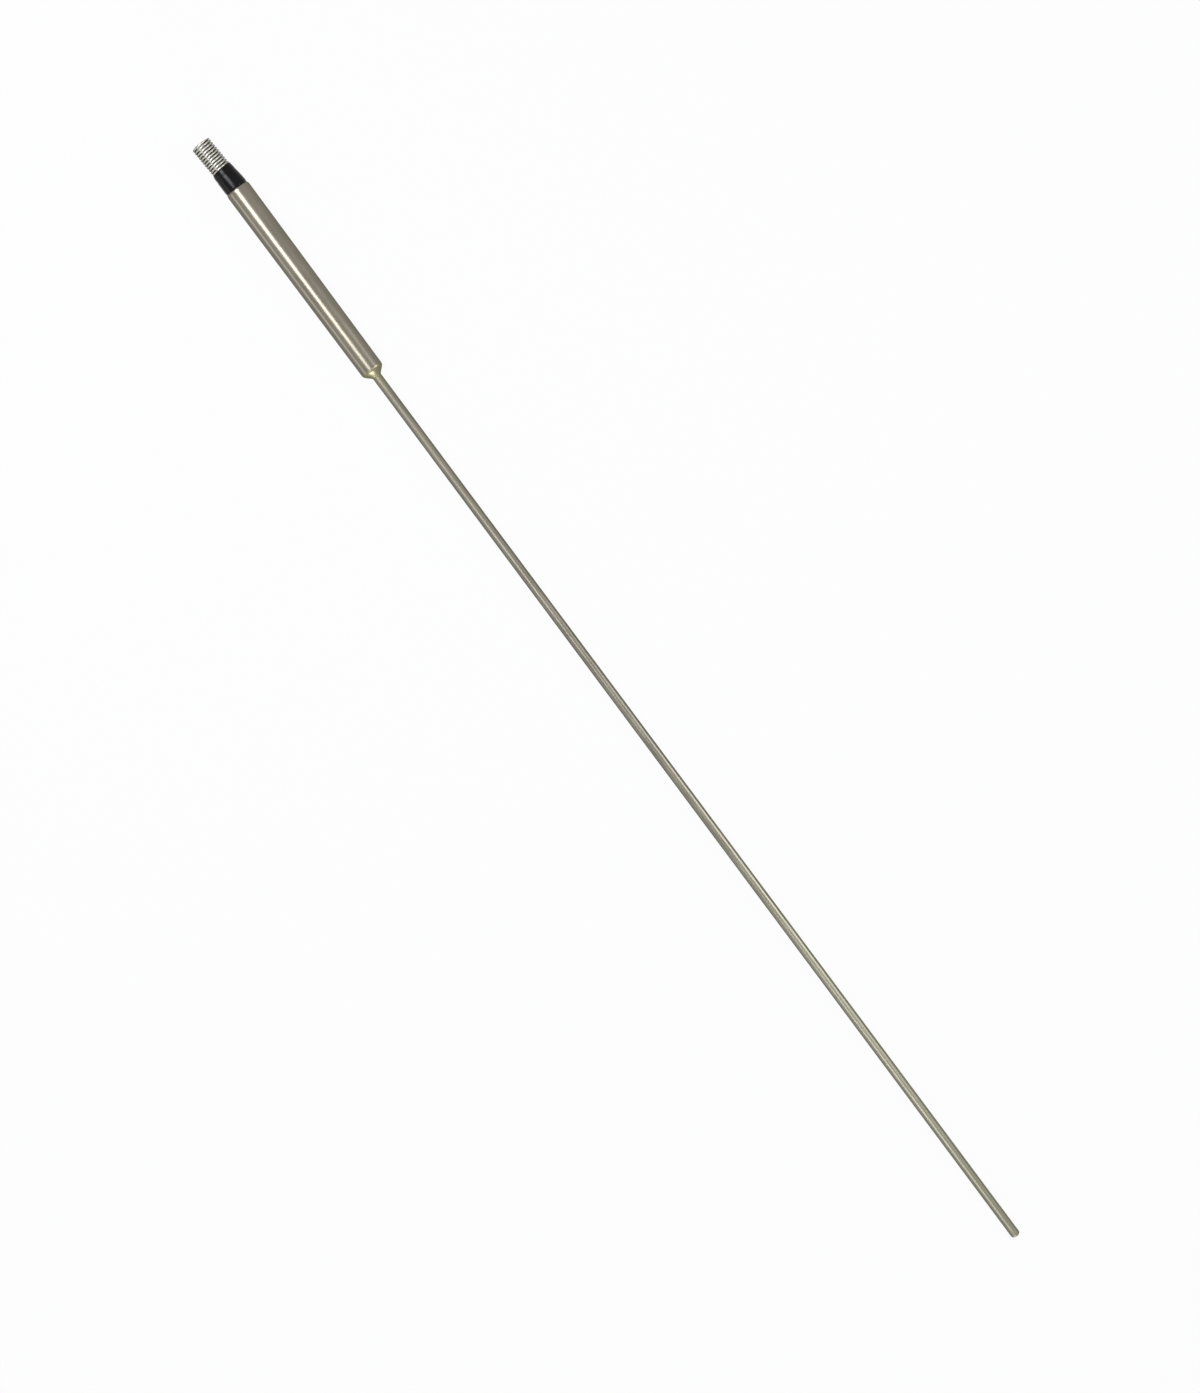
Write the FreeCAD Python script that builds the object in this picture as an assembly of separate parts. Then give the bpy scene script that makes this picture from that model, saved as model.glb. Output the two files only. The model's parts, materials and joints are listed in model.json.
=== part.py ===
import FreeCAD, Part
import math
import os

# Three-wire resistance thermometer probe, in millimetres.
# It lies along X. The origin is on the axis at the shoulder where the bare sheath
# starts, and +X runs along the sheath to the sensing tip.

# Sheath
sheath_d = 3.175
sheath_wall = 0.45
bare_length = 355.6
tail_length = 20.0
tip_wall = 1.0
tip_round = 0.75

# Braze ring at the shoulder, with the groove in the sheath that it fills
braze_length = 0.9
braze_groove = 0.2

# Transition sleeve, which widens a little from the braze to its open rim and is
# counterbored there for the boot
sleeve_d = 7.94
rim_d = 8.6
sleeve_wall = 0.25
rim_wall = 0.2
sleeve_length = 76.2
nose_angle = 45.0
nose_wall = 0.66
nose_land = 0.5
nose_round = 0.8
rim_break = 0.15
rim_break_length = 0.6

# Boot in the open rim, and the angle at which it leaves the sleeve
boot_grip = 6.0
boot_show = 8.3
boot_lip = 0.16
boot_swell = 0.06
cock_angle = 3.0

# Strain relief spring, ground flat where it shows its end: the round wire is drawn with
# flats, and each turn with straight steps, to keep the coil light
spring_d = 7.0
spring_wire = 0.84
spring_gap = 0.18
spring_turns = 11.5
spring_grip = 1.1
spring_show = 10.83
wire_flats = 8
turn_steps = 17

# Sensing element and its bed in the tip
element_length = 15.0
bed_wall = 0.3
bed_floor = 0.6
lead_d = 0.25
lead_length = 3.0
bar_length = 0.5
bar_height = 0.3

# Conductors in the mineral core, with the web between each bore and the core's skin
wire_count = 3
conductor_d = 0.38
conductor_reach = 1.5
core_web = 0.33
core_recess = 0.5

# Splices and lead wires, in line with the conductors
splice_length = 7.0
splice_offset = 6.0
splice_gap = 0.2
strand_d = 0.4
wire_gap = 0.1
wire_recess = 0.4

# Clearances
slip = 0.02
boot_slip = 0.07
wire_room = 0.3

sheath_r = sheath_d / 2
sheath_bore_r = sheath_r - sheath_wall
sleeve_r = sleeve_d / 2
rim_r = rim_d / 2
rim_bore_r = rim_r - rim_wall
sleeve_bore_r = sleeve_r - sleeve_wall
nose_r = sheath_r + nose_wall
nose_bore_r = sheath_r + slip
nose_slope = math.tan(math.radians(nose_angle))
bore_start_x = -braze_length - nose_land - (sleeve_bore_r - nose_bore_r) / nose_slope
rim_x = -braze_length - sleeve_length
potting_rear_x = rim_x + boot_grip
boot_end_x = rim_x - boot_show
seat_x = boot_end_x + spring_grip
spring_climb = spring_turns * (spring_wire + spring_gap)
spring_end_x = boot_end_x - spring_show
spring_r = spring_d / 2

core_r = sheath_bore_r - slip
conductor_bore_r = conductor_d / 2 + slip
wire_circle_r = core_r - core_web - conductor_bore_r
wire_spacing = 2 * wire_circle_r * math.sin(math.pi / wire_count)
splice_r = (wire_spacing - splice_gap) / 2
wire_r = (wire_spacing - wire_gap) / 2

element_r = core_r - bed_wall - slip
pocket_end_x = bare_length - tip_wall
element_front_x = pocket_end_x - bed_floor
element_rear_x = element_front_x - element_length
bar_front_x = element_rear_x - lead_length
conductor_front_x = bar_front_x - bar_length
core_front_x = conductor_front_x - conductor_reach
splice_front_x = -tail_length - splice_offset
splice_rear_x = splice_front_x - splice_length

X_AXIS = FreeCAD.Vector(1, 0, 0)
PIVOT = FreeCAD.Vector(rim_x, 0, 0)


def at(x, y=0.0, z=0.0):
    return FreeCAD.Vector(x, y, z)


def turned(*outline):
    """Turn a closed outline round X: (x, r) ends a line, (x, r, x, r) an arc by its middle."""
    start = at(*outline[0])
    here = start
    edges = []
    for step in outline[1:]:
        there = at(*step[-2:])
        if len(step) == 4:
            edges.append(Part.Arc(here, at(*step[:2]), there).toShape())
        else:
            edges.append(Part.makeLine(here, there))
        here = there
    edges.append(Part.makeLine(here, start))
    return Part.Face(Part.Wire(edges)).revolve(at(0), X_AXIS, 360)


def rounded(x, r, radius, sweep):
    """Arc that leaves the cylinder of radius r at x and turns down through sweep degrees."""
    half = math.radians(sweep / 2)
    middle_x = x + radius * math.sin(half)
    middle_r = r - radius + radius * math.cos(half)
    end_x = x + radius * math.sin(2 * half)
    end_r = r - radius + radius * math.cos(2 * half)
    return middle_x, middle_r, end_x, end_r


def polygon(x, y, z, radius, sides):
    """Closed polygon across X with its corners on a circle."""
    corners = []
    for k in range(sides + 1):
        angle = 2 * math.pi * (k + 0.5) / sides
        corners.append(at(x, y + radius * math.cos(angle), z + radius * math.sin(angle)))
    return Part.makePolygon(corners)


def rod(rear_x, front_x, radius, y=0.0, z=0.0):
    return Part.makeCylinder(radius, front_x - rear_x, at(rear_x, y, z), X_AXIS)


def cocked(shape):
    """Swing a shape built on the sleeve's axis to the angle of the boot and spring."""
    shape.rotate(PIVOT, at(0, 0, 1), cock_angle)
    return shape


def wire_places():
    """The y and z of each wire on the pitch circle, the first one straight up."""
    places = []
    for k in range(wire_count):
        angle = math.radians(90 + 360 * k / wire_count)
        places.append((wire_circle_r * math.cos(angle), wire_circle_r * math.sin(angle)))
    return places


def make_sheath():
    groove_r = sheath_r - braze_groove
    return turned(
        (-tail_length, sheath_bore_r),
        (-tail_length, sheath_r),
        (-braze_length, sheath_r),
        (-braze_length, groove_r),
        (0, groove_r),
        (0, sheath_r),
        (bare_length - tip_round, sheath_r),
        rounded(bare_length - tip_round, sheath_r, tip_round, 90),
        (bare_length, 0),
        (pocket_end_x, 0),
        (pocket_end_x, sheath_bore_r),
    )


def make_braze():
    inner_r = sheath_r - braze_groove + slip
    return turned(
        (-braze_length, inner_r),
        (0, inner_r),
        (0, sheath_r),
        (-braze_length, nose_r),
    )


def make_sleeve():
    """Nose, slim cone and rim, bored through; the cone is a spline, which takes fewer facets."""
    corner_x = -braze_length - (sleeve_r - nose_r) / nose_slope
    round_x = corner_x - nose_round * math.tan(math.radians(nose_angle / 2))
    break_x = rim_x + rim_break_length
    nose = turned(
        (round_x, 0),
        (round_x, sleeve_r),
        rounded(round_x, sleeve_r, nose_round, nose_angle),
        (-braze_length, nose_r),
        (-braze_length, 0),
    )
    cone = Part.makeCone(rim_r, sleeve_r, round_x - break_x, at(break_x), X_AXIS)
    rim = turned((rim_x, 0), (rim_x, rim_r - rim_break), (break_x, rim_r), (break_x, 0))
    bore = turned(
        (rim_x, 0),
        (rim_x, rim_bore_r),
        (potting_rear_x, rim_bore_r),
        (potting_rear_x, sleeve_bore_r),
        (bore_start_x, sleeve_bore_r),
        (-braze_length - nose_land, nose_bore_r),
        (-braze_length, nose_bore_r),
        (-braze_length, 0),
    )
    return cone.toNurbs().fuse([nose, rim]).cut(bore)


def boot_ring(x, radius, angle):
    """Circle across the boot, swung about the middle of the sleeve's rim."""
    ring = Part.Wire(Part.makeCircle(radius, at(x), X_AXIS))
    ring.rotate(PIVOT, at(0, 0, 1), angle)
    return ring


def make_boot():
    """Straight plug in the sleeve and cocked nozzle outside it, with the spring's socket."""
    boot_r = rim_bore_r - boot_slip
    socket_r = spring_r + slip
    lip_r = socket_r + boot_lip
    way_r = wire_circle_r + wire_r + wire_room
    nozzle = Part.makeLoft([
        boot_ring(rim_x, boot_r, 0),
        boot_ring(rim_x - boot_show / 2, (boot_r + lip_r) / 2 + boot_swell, cock_angle),
        boot_ring(boot_end_x, lip_r, cock_angle),
    ], True, True)
    way = Part.makeLoft([
        boot_ring(rim_x, way_r, 0),
        boot_ring(boot_end_x, way_r, cock_angle),
    ], True, True)
    boot = rod(rim_x, potting_rear_x, boot_r).fuse(nozzle)
    boot = boot.cut(rod(rim_x, potting_rear_x, way_r)).cut(way)
    return boot.cut(cocked(rod(boot_end_x, seat_x + slip, socket_r))).Solids[0]


def make_spring():
    """Flat-sided wire swept in mitred steps up a helix, ground and laid along the boot's axis."""
    section_r = spring_wire / 2
    coil_r = spring_r - section_r
    start_x = seat_x - section_r
    steps = round(spring_turns * turn_steps)
    path = []
    for k in range(steps + 1):
        angle = math.radians(90) - 2 * math.pi * spring_turns * k / steps
        y = coil_r * math.cos(angle)
        z = coil_r * math.sin(angle)
        path.append(at(start_x - spring_climb * k / steps, y, z))
    ahead = (path[1] - path[0]).normalize()
    out = ahead.cross(X_AXIS).normalize() * section_r
    side = ahead.cross(out)
    corners = []
    for k in range(wire_flats + 1):
        angle = 2 * math.pi * (k + 0.5) / wire_flats
        corners.append(path[0] + out * math.cos(angle) + side * math.sin(angle))
    coil = Part.makePolygon(path).makePipeShell([Part.makePolygon(corners)], True, False, 1)
    ground_off = rod(spring_end_x - 2 * spring_wire, spring_end_x, spring_d)
    return cocked(coil.cut(ground_off))


def make_element():
    return rod(element_rear_x, element_front_x, element_r)


def make_powder():
    """Cup that beds the element, with room behind it for the joints."""
    bed_r = element_r + slip
    joint_r = wire_circle_r + max(conductor_d, lead_d) / 2 + slip
    return turned(
        (core_front_x, joint_r),
        (core_front_x, core_r),
        (pocket_end_x, core_r),
        (pocket_end_x, 0),
        (element_front_x, 0),
        (element_front_x, bed_r),
        (element_rear_x, bed_r),
        (element_rear_x, joint_r),
    )


def make_element_leads():
    """The first lead meets the first conductor, the second one meets the joint bar."""
    first_y, first_z = wire_places()[0]
    bar_z = wire_places()[1][1]
    first = rod(conductor_front_x, element_rear_x, lead_d / 2, first_y, first_z)
    second = rod(bar_front_x, element_rear_x, lead_d / 2, 0, bar_z)
    return first, second


def make_joint_bar():
    """Bar welded across the front ends of the second and third conductors."""
    (second_y, bar_z), (third_y, _) = wire_places()[1:3]
    width = third_y - second_y
    corner = at(conductor_front_x, second_y, bar_z - bar_height / 2)
    return Part.makeBox(bar_length, width, bar_height, corner)


def make_core():
    core = rod(core_recess - tail_length, core_front_x, core_r)
    for y, z in wire_places():
        core = core.cut(rod(-tail_length, core_front_x, conductor_bore_r, y, z))
    return core


def make_conductor(y, z):
    return rod(splice_front_x, conductor_front_x, conductor_d / 2, y, z)


def make_splice(y, z, radius):
    """Six-sided crimped splice."""
    face = Part.Face(polygon(splice_rear_x, y, z, radius, 6))
    return face.extrude(at(splice_length))


def lead_run(front_x, radius, y, z):
    """Round bar along the sleeve, then along the cocked spring to its mouth."""
    mouth = cocked(Part.Vertex(at(spring_end_x + wire_recess, y, z))).Point
    route = Part.makePolygon([at(front_x, y, z), at(rim_x, y, z), mouth])
    section = Part.Wire(Part.makeCircle(radius, at(front_x, y, z), X_AXIS))
    return route.makePipeShell([section], True, False, 1)


def make_strand(y, z):
    return lead_run(splice_rear_x, strand_d / 2, y, z)


def make_insulation(y, z):
    hole = lead_run(splice_rear_x, strand_d / 2 + slip, y, z)
    return lead_run(splice_rear_x, wire_r, y, z).cut(hole)


def make_potting():
    potting = rod(potting_rear_x, bore_start_x, sleeve_bore_r - slip)
    potting = potting.cut(rod(-tail_length, bore_start_x, sheath_r + slip))
    for y, z in wire_places():
        potting = potting.cut(rod(splice_front_x, -tail_length, conductor_bore_r, y, z))
        potting = potting.cut(make_splice(y, z, splice_r + slip))
        potting = potting.cut(rod(potting_rear_x, splice_rear_x, wire_r + slip, y, z))
    return potting


parts = {
    "sheath": make_sheath(),
    "transition_sleeve": make_sleeve(),
    "braze_fillet": make_braze(),
    "boot": make_boot(),
    "strain_relief_spring": make_spring(),
    "sensing_element": make_element(),
    "tip_powder": make_powder(),
    "joint_bar": make_joint_bar(),
    "mineral_core": make_core(),
    "potting": make_potting(),
}
for number, lead in enumerate(make_element_leads(), start=1):
    parts[f"element_lead_{number}"] = lead
for number, (y, z) in enumerate(wire_places(), start=1):
    parts[f"conductor_{number}"] = make_conductor(y, z)
    parts[f"splice_{number}"] = make_splice(y, z, splice_r)
    parts[f"lead_strand_{number}"] = make_strand(y, z)
    parts[f"lead_insulation_{number}"] = make_insulation(y, z)

os.makedirs("parts", exist_ok=True)
for name, solid in parts.items():
    solid.exportStep(f"parts/{name}.step")
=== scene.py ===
"""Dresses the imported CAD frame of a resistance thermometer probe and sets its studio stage."""

import json
import math

import bmesh
import bpy
from mathutils import Matrix, Vector

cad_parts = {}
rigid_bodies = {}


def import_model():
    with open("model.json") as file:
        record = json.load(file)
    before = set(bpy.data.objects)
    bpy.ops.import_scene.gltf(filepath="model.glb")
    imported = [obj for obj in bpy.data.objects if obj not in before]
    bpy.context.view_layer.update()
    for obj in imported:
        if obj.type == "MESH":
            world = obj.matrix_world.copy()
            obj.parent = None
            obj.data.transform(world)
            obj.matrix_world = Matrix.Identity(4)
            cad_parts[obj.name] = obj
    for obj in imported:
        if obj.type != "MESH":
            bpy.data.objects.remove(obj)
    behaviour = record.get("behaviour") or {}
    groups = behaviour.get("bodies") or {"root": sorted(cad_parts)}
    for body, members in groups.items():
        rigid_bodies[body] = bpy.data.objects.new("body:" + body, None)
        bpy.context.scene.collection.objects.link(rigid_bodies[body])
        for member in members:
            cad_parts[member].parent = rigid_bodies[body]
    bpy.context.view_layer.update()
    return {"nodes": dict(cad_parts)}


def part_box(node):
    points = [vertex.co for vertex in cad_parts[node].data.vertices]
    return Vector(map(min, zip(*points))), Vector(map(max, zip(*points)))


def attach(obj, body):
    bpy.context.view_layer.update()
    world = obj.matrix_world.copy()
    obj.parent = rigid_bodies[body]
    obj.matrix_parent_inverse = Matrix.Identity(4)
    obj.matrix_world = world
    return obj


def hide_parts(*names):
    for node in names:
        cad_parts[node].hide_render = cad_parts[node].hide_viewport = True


bl_info = {
    "name": "Resistance Thermometer Probe",
    "version": (1, 0, 0),
    "blender": (4, 5, 0),
    "location": "View3D > Sidebar > Probe",
    "description": "Models the sheath, sleeve, boot, coil and lead wires over the CAD frame",
    "category": "Mesh",
}

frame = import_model()

MM = 0.001
SHEATH_LOW, SHEATH_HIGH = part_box("sheath")
SLEEVE_LOW, SLEEVE_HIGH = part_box("transition_sleeve")
BRAZE_LOW, BRAZE_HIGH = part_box("braze_fillet")
POTTING_LOW, POTTING_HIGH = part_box("potting")
BOOT_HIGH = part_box("boot")[1]
COIL_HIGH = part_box("strain_relief_spring")[1]
CORE_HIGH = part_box("mineral_core")[1]
POWDER_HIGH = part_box("tip_powder")[1]

# Sides of the long round pieces, the lead wires' covers, wire and a single strand
TUBE_SIDES = 96
COVER_SIDES = 32
WIRE_SIDES = 18
STRAND_SIDES = 10
WIRE_NUMBERS = (1, 2, 3)
SMOOTH_ANGLE = math.radians(32)
# Turns that stand a flat ring across X and across Y
ACROSS_X = (0, math.pi / 2, 0)
ACROSS_Y = (math.pi / 2, 0, 0)
# Clearance round a piece that sits in another
FIT = 0.02 * MM
# Points this close to a place count as there, and points closer than MERGE become one
NEAR = 0.01 * MM
MERGE = 0.0005 * MM
WHITE = (1, 1, 1, 1)


class ProbeSizes(bpy.types.PropertyGroup):
    """Sizes that the CAD frame leaves to the dressed model"""

    tip_dome: bpy.props.FloatProperty(
        name="Tip Dome", description="Length of the rounded, welded tip",
        default=1.05 * MM, unit="LENGTH", precision=5)
    nose_end: bpy.props.FloatProperty(
        name="Nose End", description="Radius of the slightly tapered sleeve at its nose",
        default=3.97 * MM, unit="LENGTH", precision=5)
    sleeve_wall: bpy.props.FloatProperty(
        name="Sleeve Wall", description="Wall of the sleeve at its rim",
        default=0.2 * MM, unit="LENGTH", precision=5)
    rim_roll: bpy.props.FloatProperty(
        name="Rim Roll", description="How far the sleeve's open rim is rolled in",
        default=0.24 * MM, unit="LENGTH", precision=5)
    rim_roll_length: bpy.props.FloatProperty(
        name="Rim Roll Length", description="Length over which the rim is rolled in",
        default=1.1 * MM, unit="LENGTH", precision=5)
    corner_round: bpy.props.FloatProperty(
        name="Corner Round", description="Rounding between the sleeve and its nose",
        default=0.5 * MM, unit="LENGTH", precision=5)
    nose_angle: bpy.props.FloatProperty(
        name="Nose Angle", description="Angle of the sleeve's nose to its axis",
        default=math.radians(45), subtype="ANGLE")
    nose_crown: bpy.props.FloatProperty(
        name="Nose Crown", description="How far the sleeve's nose swells in the middle",
        default=0.08 * MM, unit="LENGTH", precision=5)
    fillet_radius: bpy.props.FloatProperty(
        name="Fillet Radius", description="Hollow radius of the braze between nose and sheath",
        default=0.35 * MM, unit="LENGTH", precision=5)
    braze_film: bpy.props.FloatProperty(
        name="Braze Film", description="How far the braze has crept up the nose",
        default=0.25 * MM, unit="LENGTH", precision=5)
    braze_flow: bpy.props.FloatProperty(
        name="Braze Flow", description="Unevenness of the braze's surface",
        default=0.07 * MM, unit="LENGTH", precision=5)
    cock_angle: bpy.props.FloatProperty(
        name="Cock Angle", description="Angle at which the boot and coil leave the sleeve",
        default=math.radians(3.0), subtype="ANGLE")
    boot_show: bpy.props.FloatProperty(
        name="Boot Length", description="Length of boot that shows behind the sleeve",
        default=8.3 * MM, unit="LENGTH", precision=5)
    boot_way: bpy.props.FloatProperty(
        name="Boot Bore", description="Radius of the lead wires' way through the boot",
        default=1.3275 * MM, unit="LENGTH", precision=5)
    boot_dents: bpy.props.FloatProperty(
        name="Boot Dents", description="Unevenness of the boot's skin",
        default=0.04 * MM, unit="LENGTH", precision=5)
    lip_slant: bpy.props.FloatProperty(
        name="Lip Slant", description="Angle of the boot's lip to the rest of the boot",
        default=math.radians(3.0), subtype="ANGLE")
    coil_wire: bpy.props.FloatProperty(
        name="Coil Wire", description="Diameter of the coil's wire",
        default=0.84 * MM, unit="LENGTH", precision=5)
    coil_pitch: bpy.props.FloatProperty(
        name="Coil Pitch", description="Advance of the coil in each turn",
        default=1.02 * MM, unit="LENGTH", precision=5)
    coil_turns: bpy.props.FloatProperty(
        name="Coil Turns", description="Number of turns before the end is ground flat",
        default=11.5)
    coil_grip: bpy.props.FloatProperty(
        name="Coil Grip", description="Length of coil that sits in the boot",
        default=1.1 * MM, unit="LENGTH", precision=5)
    coil_show: bpy.props.FloatProperty(
        name="Coil Show", description="Length of coil that shows behind the boot",
        default=10.83 * MM, unit="LENGTH", precision=5)
    strand_show: bpy.props.FloatProperty(
        name="Strand Show", description="Length over which a lead's separate strands are modelled",
        default=4.0 * MM, unit="LENGTH", precision=5)


class ProbeColours(bpy.types.PropertyGroup):
    """Base colours of the probe's finishes"""

    sheath: bpy.props.FloatVectorProperty(
        name="Sheath", description="Dull drawn steel of the sheath",
        default=(0.154, 0.141, 0.111), subtype="COLOR", min=0, max=1)
    annealed: bpy.props.FloatVectorProperty(
        name="Annealed", description="Paler, greener steel of the sheath's sensing end",
        default=(0.187, 0.177, 0.133), subtype="COLOR", min=0, max=1)
    sleeve: bpy.props.FloatVectorProperty(
        name="Sleeve", description="Ground steel of the transition sleeve",
        default=(0.196, 0.178, 0.141), subtype="COLOR", min=0, max=1)
    heat_tint: bpy.props.FloatVectorProperty(
        name="Heat Tint", description="Straw colour that brazing leaves on the steel",
        default=(0.200, 0.183, 0.113), subtype="COLOR", min=0, max=1)
    braze: bpy.props.FloatVectorProperty(
        name="Braze", description="Pale yellow brazing metal",
        default=(0.185, 0.168, 0.101), subtype="COLOR", min=0, max=1)
    boot: bpy.props.FloatVectorProperty(
        name="Boot", description="Black rubber of the boot",
        default=(0.0010, 0.0009, 0.0009), subtype="COLOR", min=0, max=1)
    coil: bpy.props.FloatVectorProperty(
        name="Coil", description="Bright spring wire",
        default=(0.375, 0.357, 0.315), subtype="COLOR", min=0, max=1)
    insulation: bpy.props.FloatVectorProperty(
        name="Insulation", description="Lead wire insulation",
        default=(0.74, 0.72, 0.67), subtype="COLOR", min=0, max=1)
    copper: bpy.props.FloatVectorProperty(
        name="Copper", description="Bare copper strands",
        default=(0.62, 0.29, 0.16), subtype="COLOR", min=0, max=1)


class ProbeStage(bpy.types.PropertyGroup):
    """Camera, lamps and floor"""

    aim: bpy.props.FloatVectorProperty(
        name="Aim", description="Point that the camera looks at",
        default=(128.759 * MM, -4.046 * MM, 0), subtype="XYZ", precision=5)
    distance: bpy.props.FloatProperty(
        name="Distance", description="Distance from the camera to its aim",
        default=1.6, unit="LENGTH")
    tilt: bpy.props.FloatProperty(
        name="Tilt", description="Lean of the camera along the probe",
        default=math.radians(1.655), subtype="ANGLE")
    roll: bpy.props.FloatProperty(
        name="Roll", description="Angle at which the probe crosses the picture",
        default=math.radians(53.335), subtype="ANGLE")
    lens: bpy.props.FloatProperty(
        name="Lens", description="Focal length for a 36 mm sensor on the long side",
        default=124.832)
    key_power: bpy.props.FloatProperty(
        name="Key Power", description="Power of the long lamp over the sleeve and coil",
        default=2.7, unit="POWER")
    tail_power: bpy.props.FloatProperty(
        name="Tail Power", description="Power of the broad lamp beside the boot and coil",
        default=2.6, unit="POWER")
    side_power: bpy.props.FloatProperty(
        name="Side Power", description="Power of the soft lamp beside the sheath's middle",
        default=2.8, unit="POWER")
    middle_power: bpy.props.FloatProperty(
        name="Middle Power", description="Power of the soft lamp between the side and tip lamps",
        default=0.45, unit="POWER")
    tip_power: bpy.props.FloatProperty(
        name="Tip Power", description="Power of the soft lamp beside the tip",
        default=1.45, unit="POWER")
    end_power: bpy.props.FloatProperty(
        name="End Power", description="Power of the low lamp beyond the tip, which faces the nose",
        default=10.0, unit="POWER")
    low_power: bpy.props.FloatProperty(
        name="Low Power", description="Power of the low lamp beside the sleeve",
        default=0.66, unit="POWER")
    lamp_colour: bpy.props.FloatVectorProperty(
        name="Lamp Colour", description="Colour of all the lamps",
        default=(0.92, 0.96, 1.0), subtype="COLOR", min=0, max=1)
    room_level: bpy.props.FloatProperty(
        name="Room Level", description="Brightness of the light from all round",
        default=0.3, min=0, max=1)
    floor_white: bpy.props.FloatProperty(
        name="Floor White", description="Share of the floor's look that is plain white",
        default=0.95, min=0, max=1, subtype="FACTOR")


def sizes():
    return bpy.context.scene.probe_sizes


def colours():
    return bpy.context.scene.probe_colours


def rim_middle():
    """The point about which the boot and coil are cocked."""
    return Vector((SLEEVE_LOW.x, 0, 0))


# Modelling by hand


def add_ring(name, sides, radius, place, turn):
    """Start a piece from a ring of points, with its place and turn in its mesh."""
    bpy.ops.object.select_all(action="DESELECT")
    bpy.ops.mesh.primitive_circle_add(vertices=sides, radius=radius, location=place, rotation=turn)
    piece = bpy.context.active_object
    piece.name = name
    piece.data.name = name
    bpy.ops.object.transform_apply(location=True, rotation=True, scale=True)
    return piece


def edit_edges():
    """Open the active piece for editing by its edges."""
    bpy.ops.object.mode_set(mode="EDIT")
    bpy.ops.mesh.select_mode(type="EDGE")


def open_ring(name, x, radius, sides):
    """Start a piece from a ring across X, open for editing and with the ring selected."""
    piece = add_ring(name, sides, radius, (x, 0, 0), ACROSS_X)
    edit_edges()
    bpy.ops.mesh.select_all(action="SELECT")
    return piece


def draw_ring(here, there):
    """Extrude the selected ring from one (x, radius) to the next."""
    bpy.ops.mesh.extrude_edges_move(TRANSFORM_OT_translate={"value": (there[0] - here[0], 0, 0)})
    growth = there[1] / here[1]
    bpy.ops.transform.resize(value=(1, growth, growth), center_override=(there[0], 0, 0))


def turn_outline(name, outline, sides=TUBE_SIDES):
    """Draw a ring through every (x, radius) of an outline; the last ring stays selected."""
    piece = open_ring(name, *outline[0], sides)
    for here, there in zip(outline, outline[1:]):
        draw_ring(here, there)
    return piece


def pick_open_edges():
    """Select only the edges that lack a face on one side or both."""
    bpy.ops.mesh.select_all(action="DESELECT")
    bpy.ops.mesh.select_non_manifold(
        extend=False, use_wire=True, use_boundary=True, use_multi_face=False,
        use_non_contiguous=False, use_verts=False)


def close_section():
    """Join the first and last ring of a hollow piece."""
    pick_open_edges()
    bpy.ops.mesh.bridge_edge_loops()


def cap_ends():
    """Fill every open ring of a solid piece."""
    pick_open_edges()
    bpy.ops.mesh.fill_holes(sides=0)


def pick_edges(piece, fits):
    """Select only the edges whose two ends both fit."""
    bpy.ops.mesh.select_all(action="DESELECT")
    mesh = bmesh.from_edit_mesh(piece.data)
    for edge in mesh.edges:
        edge.select_set(all(fits(end.co) for end in edge.verts))
    bmesh.update_edit_mesh(piece.data)


def round_ring(piece, x, radius, width, steps):
    """Round off the ring of edges at one (x, radius)."""

    def on_ring(point):
        return abs(point.x - x) < NEAR and abs(math.hypot(point.y, point.z) - radius) < NEAR

    pick_edges(piece, on_ring)
    bpy.ops.mesh.bevel(offset=width, offset_type="OFFSET", segments=steps, profile=0.5)


def turn_about_z(angle, centre):
    """Turn what is selected; with no window the operator turns the other way."""
    bpy.ops.transform.rotate(value=-angle, orient_axis="Z", center_override=centre)


def cock_behind_rim(piece):
    """Swing everything behind the sleeve's rim to the boot's angle."""
    margin = 0.05 * MM
    pick_edges(piece, lambda point: point.x < SLEEVE_LOW.x - margin)
    turn_about_z(sizes().cock_angle, rim_middle())


def close_piece(piece):
    """Turn the faces outwards, leave edit mode and smooth the shading."""
    bpy.ops.mesh.select_all(action="SELECT")
    bpy.ops.mesh.remove_doubles(threshold=MERGE)
    bpy.ops.mesh.normals_make_consistent(inside=False)
    if bmesh.from_edit_mesh(piece.data).calc_volume(signed=True) < 0:
        bpy.ops.mesh.flip_normals()
    bpy.ops.object.mode_set(mode="OBJECT")
    bpy.ops.object.shade_smooth_by_angle(angle=SMOOTH_ANGLE)


def apply_modifier(piece, kind, **settings):
    """Add a modifier with these settings and apply it."""
    modifier = piece.modifiers.new(kind.title(), kind)
    for key, value in settings.items():
        setattr(modifier, key, value)
    bpy.context.view_layer.objects.active = piece
    bpy.ops.object.modifier_apply(modifier=modifier.name)


def roughen(piece, name, grain, depth):
    """Push the skin in and out by a soft cloud pattern."""
    clouds = bpy.data.textures.new(name, "CLOUDS")
    clouds.noise_scale = grain
    clouds.noise_depth = 1
    apply_modifier(
        piece, "DISPLACE", texture=clouds, texture_coords="LOCAL", strength=depth, mid_level=0.5)


def settle(piece, finish, slot, *nodes):
    """Give a piece its finish and let it ride in place of its CAD nodes."""
    piece.data.materials.clear()
    piece.data.materials.append(finish)
    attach(piece, "root")
    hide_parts(*nodes)


# Finishes


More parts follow.
